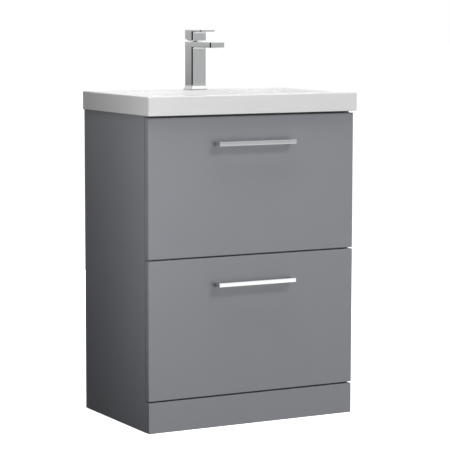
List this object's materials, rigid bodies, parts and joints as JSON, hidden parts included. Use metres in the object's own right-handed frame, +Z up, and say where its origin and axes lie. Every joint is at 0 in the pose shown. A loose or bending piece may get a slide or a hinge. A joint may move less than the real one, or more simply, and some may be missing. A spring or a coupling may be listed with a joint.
{
  "type": "bathroom vanity cabinet",
  "caption": "Floor-standing grey vanity cabinet with two wide drawers, square bar handles, a plinth, a white basin with a deep rim, and a square chrome mixer tap.",
  "frame": {"origin": "middle of the footprint on the floor: halfway between the left and right edges of the basin and between the wall and the front of the handles", "axes": "+X to the right as seen from the front, -Y out of the front, +Z up"},
  "size_m": [0.61, 0.4104, 1.013],
  "materials": {
    "grey_lacquer": "satin cool grey lacquer on fibreboard",
    "drawer_board": "matt grey foil on board, fine linen texture",
    "ceramic": "gloss white glaze",
    "chrome": "polished",
    "steel": "zinc-plated, fine drawn lines",
    "brass": "machined, dull",
    "rubber": "matt black",
    "plastic": "moulded white, fine texture"
  },
  "bodies": {
    "root": {"side_panel_left": "grey_lacquer", "side_panel_right": "grey_lacquer", "base_panel": "grey_lacquer", "back_rail_upper": "grey_lacquer", "back_rail_lower": "grey_lacquer", "front_rail": "grey_lacquer", "middle_rail": "grey_lacquer", "plinth_board": "grey_lacquer", "plinth_batten": "drawer_board", "wall_bracket_left": "steel", "wall_bracket_right": "steel", "upper_runner_cabinet_left": "steel", "upper_runner_cabinet_right": "steel", "lower_runner_cabinet_left": "steel", "lower_runner_cabinet_right": "steel", "basin": "ceramic", "overflow_duct": "ceramic", "overflow_ring": "chrome", "waste_body": "chrome", "waste_seal": "rubber", "waste_nut": "brass", "tap_body": "chrome", "tap_cartridge": "plastic", "tap_aerator": "chrome", "tap_stud": "brass", "tap_washer": "rubber", "tap_clamp_plate": "steel", "tap_nut": "brass"},
    "upper_drawer": {"upper_drawer_front": "grey_lacquer", "upper_handle": "chrome", "upper_handle_screw_left": "steel", "upper_handle_screw_right": "steel", "upper_drawer_side_left": "drawer_board", "upper_drawer_side_right": "drawer_board", "upper_drawer_bottom": "drawer_board", "upper_drawer_trap_guard": "drawer_board", "upper_drawer_back_left": "drawer_board", "upper_drawer_back_right": "drawer_board", "upper_runner_drawer_left": "steel", "upper_runner_drawer_right": "steel"},
    "lower_drawer": {"lower_drawer_front": "grey_lacquer", "lower_handle": "chrome", "lower_handle_screw_left": "steel", "lower_handle_screw_right": "steel", "lower_drawer_side_left": "drawer_board", "lower_drawer_side_right": "drawer_board", "lower_drawer_bottom": "drawer_board", "lower_drawer_back": "drawer_board", "lower_runner_drawer_left": "steel", "lower_runner_drawer_right": "steel"},
    "upper_slides": {"upper_runner_middle_left": "steel", "upper_runner_middle_right": "steel"},
    "lower_slides": {"lower_runner_middle_left": "steel", "lower_runner_middle_right": "steel"},
    "tap_swivel": {"tap_carrier": "brass"},
    "tap_handle": {"tap_lever": "chrome", "tap_spindle": "steel", "tap_grub_screw": "steel", "tap_screw_cap": "chrome"},
    "waste_click": {"waste_plug": "chrome"}
  },
  "joints": [
    {"name": "upper_drawer_slide", "type": "slide", "parent": "root", "child": "upper_drawer", "axis": [0, -1, 0], "range_m": [0, 0.28]},
    {"name": "lower_drawer_slide", "type": "slide", "parent": "root", "child": "lower_drawer", "axis": [0, -1, 0], "range_m": [0, 0.28]},
    {"name": "upper_slides_travel", "type": "slide", "parent": "root", "child": "upper_slides", "axis": [0, -1, 0], "range_m": [0, 0.14]},
    {"name": "lower_slides_travel", "type": "slide", "parent": "root", "child": "lower_slides", "axis": [0, -1, 0], "range_m": [0, 0.14]},
    {"name": "tap_temperature_turn", "type": "hinge", "parent": "root", "child": "tap_swivel", "pos_m": [0, 0.14325, 0.984], "axis": [0, 0, 1], "range_deg": [-45, 45]},
    {"name": "tap_flow_tilt", "type": "hinge", "parent": "tap_swivel", "child": "tap_handle", "pos_m": [0, 0.14325, 0.984], "axis": [-1, 0, 0], "range_deg": [0, 20]},
    {"name": "waste_plug_press", "type": "slide", "parent": "root", "child": "waste_click", "axis": [0, 0, -1], "range_m": [0, 0.007]}
  ],
  "couplings": [
    {"joint": "upper_slides_travel", "follows": "upper_drawer_slide", "ratio": 0.5},
    {"joint": "lower_slides_travel", "follows": "lower_drawer_slide", "ratio": 0.5}
  ]
}
